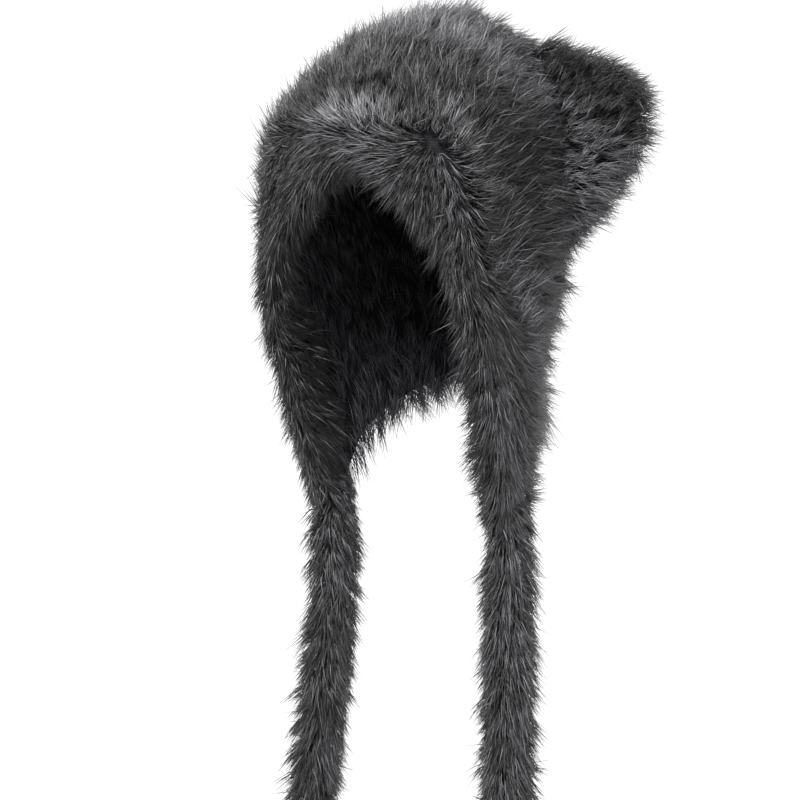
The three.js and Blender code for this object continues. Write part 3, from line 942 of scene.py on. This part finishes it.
@dataclass
class Ear(Furred):
    """A corner that is pulled out into an ear. Its zones are pairs in metres, as the coat's are."""

    pile: Pile = Pile(
        strands=10500, length=24, lean=52, lay=0.45, sag=0.0, gather=0.55, unruly=0.28, tone=0.46
    )
    starts: float = 56.0  # mm from the middle, inside the coat
    blunt: float = 0.8  # under 1 makes its edges blunter than an ellipse's
    rings: int = 26  # evenly spaced, up to the end
    end_rings: tuple[float, ...] = (134, 136, 137)  # mm, closer where its end is rounded
    turns: int = 49  # points on a ring

    GROWS, CUT = -1, -4  # mm over the coat: its pile grows above the first, its hide is cut below the other
    CLEAR = 1  # mm, from the hide's inner face to the cloth
    FRONT_Y = (0.034, 0.022)
    RISING_Z = (-0.14, -0.05)
    # where the painted light on its lower part begins and is full
    LOW_Z = (-0.08, -0.11)
    FOLD_X, FOLD_Z = (0.05, 0.077, 0.12, 0.145), (-0.004, -0.036, -0.068, -0.078)
    FOLD_EDGE = (-0.01, 0.008)  # how softly the shade over the fold begins

    def face(self) -> Patch:
        """Its face as rings going out along X."""
        turn = np.linspace(0, 2 * math.pi, self.turns) + math.pi / 2
        x = np.concatenate([np.linspace(self.starts, EAR_SECTIONS[-2].x, self.rings), self.end_rings])
        c = columns_at(EAR_SECTIONS, "x", x)
        up = np.sign(np.cos(turn)) * np.abs(np.cos(turn)) ** self.blunt
        backward = np.sin(turn)[:, None]
        low, high = c["low"] - HIDE, c["high"] + HIDE
        z = low + (high - low) * (1 + up[:, None]) / 2
        folded = np.maximum(0, -backward) * np.sin(math.pi * (1 - up) / 2)[:, None] * c["fold"]
        y = c["y"] + (c["thick"] / 2 + HIDE) * backward - folded
        points = np.stack([np.broadcast_to(self.side.value * (x + HIDE), z.shape), y, z], -1)
        return Patch.of(points * MM, wrapped=True, flipped=self.side is Side.LEFT)

    def keeps(self, roots: Roots) -> Array:
        """Leaves out what lies inside the hood."""
        return self.dressing.form.coat().height(roots.place) > self.GROWS * MM

    def groom(self, roots: Roots) -> Lie:
        """Out to the tip, rising above and falling below. Its front is in shade above the fold."""
        x, y, z = roots.place.T
        front = ramp(y, *self.FRONT_Y)
        rising = -0.6 + 1.4 * ramp(z, *self.RISING_Z) * (0.4 + 0.6 * front)
        way = np.stack([np.full(len(x), float(self.side.value)), 0.2 * (1 - front), rising], 1)
        shade = front * ramp(z - np.interp(np.abs(x), self.FOLD_X, self.FOLD_Z), *self.FOLD_EDGE)
        # Painted light on its lower part, painted shade on its front above the fold.
        return Lie(way, tone=-0.12 + 0.26 * ramp(z, *self.LOW_Z) - 0.58 * shade)

    def build(self) -> None:
        """Makes the ear's hide and grows its pile."""
        face = self.face()
        pile = self.grow(f"ear_{self.side.word}_pile", face)
        self.dressing.dress(pile, self.dressing.pile, "pile", "hood_fur")
        coarse = face.coarse()
        dropped = self.dressing.form.coat().height(coarse.points.reshape(-1, 3)) < self.CUT * MM
        hide = hide_piece(f"ear_{self.side.word}_hide", coarse, HIDE - self.CLEAR, dropped)
        self.dressing.dress(hide, self.dressing.hide, "pile", "hood_fur")


@dataclass
class Tie(Furred):
    """A long tie that hangs from its flap."""

    # Its tone is a little below the coat's: painted shade on the hanging ties.
    pile: Pile = Pile(
        strands=10500, length=24, lean=43, lay=0.35, sag=0.45, gather=0.78, width=0.74, unruly=0.34, tone=0.38
    )
    turns: int = 33  # points on a ring
    rings: int = 91

    THICK = 1.5  # mm, of its hide
    START_ON = (0, 0.15)  # where the pile gets longer, of its length from the flap
    DIM = -0.08  # painted shade on the far one's tone

    def face(self) -> Patch:
        """Its face as rings going down."""
        turn = np.linspace(0, 2 * math.pi, self.turns)
        z = np.linspace(TIE_SECTIONS[0].z, TIE_SECTIONS[-1].z, self.rings)
        c = columns_at(TIE_SECTIONS, "z", z)
        x = c[self.side.word] + (c["thick"] / 2) * np.cos(turn)[:, None]
        y = c["y"] + (c["wide"] / 2) * np.sin(turn)[:, None]
        points = np.stack([x, y, np.broadcast_to(z, x.shape)], -1)
        return Patch.of(points * MM, wrapped=True, flipped=True)

    def groom(self, roots: Roots) -> Lie:
        """Down, and longer towards the tie's end. It is rubbed shorter where it faces the other tie."""
        way = np.broadcast_to(DOWN, roots.place.shape)
        rubbed = np.maximum(0, -self.side.value * roots.normal[:, 0])
        length = 0.75 + 0.33 * ramp(roots.onward, *self.START_ON) + 0.12 * roots.onward - 0.28 * rubbed
        return Lie(way, tone=self.DIM * (self.side is Side.RIGHT), length=length)

    def build(self) -> None:
        """Makes the tie's hide and grows its pile."""
        face = self.face()
        node = f"tie_{self.side.word}"
        pile = self.grow(f"{node}_pile", face)
        self.dressing.dress(pile, self.dressing.pile, "pile", node)
        hide = hide_piece(f"{node}_hide", face.coarse(), self.THICK)
        self.dressing.dress(hide, self.dressing.hide, "pile", node)


@dataclass
class Lining(Furred):
    """The pile inside the hood, which hangs past the hem."""

    # Its low tone and darker finish are painted shade inside the hood.
    pile: Pile = Pile(strands=19500, length=21, lean=62, lay=0.4, sag=0.4, width=0.75, tone=0.2)

    EAR_OPEN = 1  # mm, the ear's cloth grown by this has no lining
    HEM_ROUND, FORE_ON = (0.14, 0.02), (0.3, 0.02)  # pairs as the coat's are, ROUND here from either hem

    def keeps(self, roots: Roots) -> Array:
        """Leaves the ears' pockets open."""
        return ~in_ear(roots.place, self.EAR_OPEN)

    def groom(self, roots: Roots) -> Lie:
        """Down the wall, lighter by the face and the hem where light reaches it."""
        hem = ramp(np.minimum(roots.around, 1 - roots.around), *self.HEM_ROUND)
        fore = ramp(roots.onward, *self.FORE_ON)
        way = np.broadcast_to(DOWN, roots.place.shape)
        return Lie(way, tone=0.4 * hem + 0.2 * fore, length=1 + 0.85 * hem)

    def build(self) -> None:
        """Grows the pile."""
        pile = self.grow("lining_pile", self.dressing.form.lining())
        self.dressing.dress(pile, self.dressing.lining, "knit_ground")


@dataclass(frozen=True)
class Lamp:
    """A soft light: where it stands, what it looks at, its size in metres and its power in watts."""

    name: str
    place: tuple[float, float, float]
    aim: tuple[float, float, float]
    size: float
    power: float


@dataclass
class Studio:
    """The camera at the photo's angle, a pale sweep all round, and soft light."""

    azimuth: float = 35.0
    elevation: float = 10.0
    distance: float = 1.40
    target: tuple[float, float, float] = (0.0, -0.057, -0.2655)
    lens: float = 85.0
    floor: float = -0.68
    wall_at: float = 1.8  # from the middle of the floor
    bend: float = 0.6
    wall_height: float = 4.0
    bend_steps: int = 13
    round_steps: int = 64
    sensor: float = 36.0  # mm
    world: float = 0.3
    lamps: tuple[Lamp, ...] = field(
        default=(
            Lamp("key", (0.3, -1.4, 1.35), (0, 0, -0.15), 0.55, 122),
            Lamp("fill", (1.5, -1.2, 0.3), (0, 0, -0.25), 1.2, 14),
            Lamp("rim", (-1.1, 0.1, 1.1), (0, 0, -0.05), 0.5, 16),
        )
    )

    def build(self) -> None:
        """Sets up the camera, the sweep and the lights."""
        self.add_camera()
        self.add_sweep()
        for lamp in self.lamps:
            self.add_lamp(lamp)
        world = bpy.data.worlds.new("studio")
        bpy.context.scene.world = world
        world.use_nodes = True
        background = world.node_tree.nodes["Background"]
        background.inputs["Color"].default_value = linear("#ffffff")
        background.inputs["Strength"].default_value = self.world
        bpy.context.scene.view_settings.view_transform = "Standard"

    def add_camera(self) -> None:
        """Looks at the target from the photo's side."""
        a, e = math.radians(self.azimuth), math.radians(self.elevation)
        back = Vector((math.sin(a) * math.cos(e), -math.cos(a) * math.cos(e), math.sin(e)))
        data = bpy.data.cameras.new("camera")
        data.lens = self.lens
        data.sensor_width = self.sensor
        camera = bpy.data.objects.new("camera", data)
        bpy.context.collection.objects.link(camera)
        camera.location = Vector(self.target) + back * self.distance
        camera.rotation_euler = (-back).to_track_quat("-Z", "Y").to_euler()
        bpy.context.scene.camera = camera

    def add_sweep(self) -> None:
        """Makes a pale floor that runs up all round in one soft bend."""
        turns = np.linspace(0, math.pi / 2, self.bend_steps)
        radius = [0.0, *(self.wall_at + self.bend * np.sin(turns)), self.wall_at + self.bend]
        height = [0.0, *(self.bend * (1 - np.cos(turns))), self.wall_height]
        profile = [Vector((r, 0, h + self.floor)) for r, h in zip(radius, height)]
        mesh = bpy.data.meshes.new("sweep")
        mesh.from_pydata(profile, [(k, k + 1) for k in range(len(profile) - 1)], [])
        sweep = bpy.data.objects.new("sweep", mesh)
        bpy.context.collection.objects.link(sweep)
        bpy.ops.object.select_all(action="DESELECT")
        bpy.context.view_layer.objects.active = sweep
        sweep.select_set(True)
        turning = sweep.modifiers.new("all round", "SCREW")
        turning.steps = turning.render_steps = self.round_steps
        turning.use_merge_vertices = True
        bpy.ops.object.modifier_apply(modifier=turning.name)
        bpy.ops.object.shade_smooth()
        sweep.data.materials.append(PAPER.material())

    def add_lamp(self, lamp: Lamp) -> None:
        """Hangs one soft light."""
        data = bpy.data.lights.new(lamp.name, "AREA")
        data.size = lamp.size
        data.energy = lamp.power
        light = bpy.data.objects.new(lamp.name, data)
        bpy.context.collection.objects.link(light)
        light.location = lamp.place
        light.rotation_euler = (Vector(lamp.aim) - Vector(lamp.place)).to_track_quat("-Z", "Y").to_euler()


def main() -> None:
    """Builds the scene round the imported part."""
    logging.basicConfig(level=logging.INFO, format="%(message)s")
    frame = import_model()
    shell = frame["nodes"]["hood_shell"]
    shell.data.materials.clear()
    shell.data.materials.append(KNIT_GROUND.material())
    dressing = Dressing(HoodForm(), CHARCOAL_PILE.material(), LINING_PILE.material(), PILE_HIDE.material())
    seed = FIRST_SEED
    for part in (Coat, Band, Ear, Tie):
        for side in Side:
            part(dressing=dressing, side=side, seed=seed).build()
            seed += SEED_STEP
    Lining(dressing=dressing, side=Side.LEFT, seed=seed).build()
    Studio().build()


if __name__ == "__main__":
    main()
